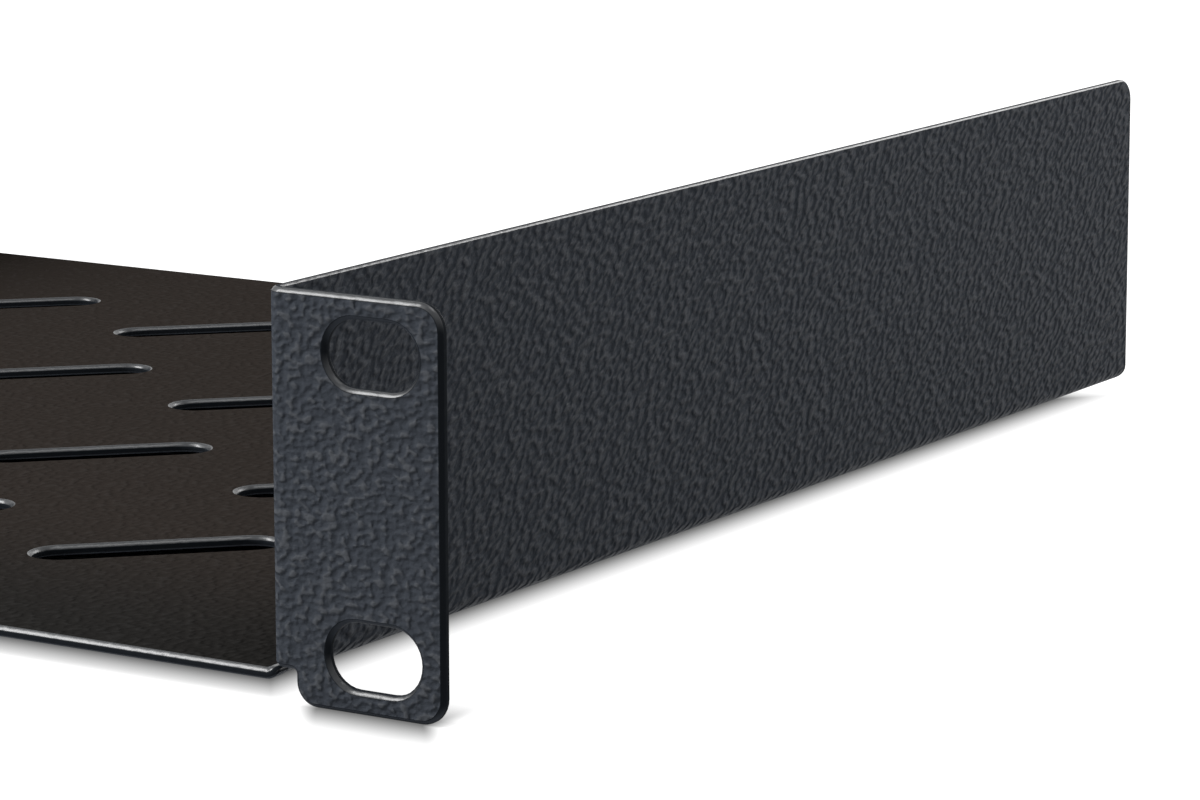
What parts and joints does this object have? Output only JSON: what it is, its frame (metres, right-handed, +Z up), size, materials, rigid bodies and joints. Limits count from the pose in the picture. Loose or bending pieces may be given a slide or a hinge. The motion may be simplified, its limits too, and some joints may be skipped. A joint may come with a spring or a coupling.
{
  "type": "rack shelf",
  "caption": "Low shelf for a small equipment rack: a tray with slanted air slots, folded side walls and slotted mounting ears.",
  "frame": {"origin": "middle of the four screw slots, on the back of the ears, where they meet the rack's rails", "axes": "+X across the shelf to the right seen from the front, +Y back into the rack, +Z up"},
  "size_m": [0.254, 0.2, 0.044],
  "materials": {
    "coated_steel": "grained black powder coat with a soft sheen, over sheet steel"
  },
  "bodies": {
    "root": {"shelf": "coated_steel"}
  },
  "joints": []
}
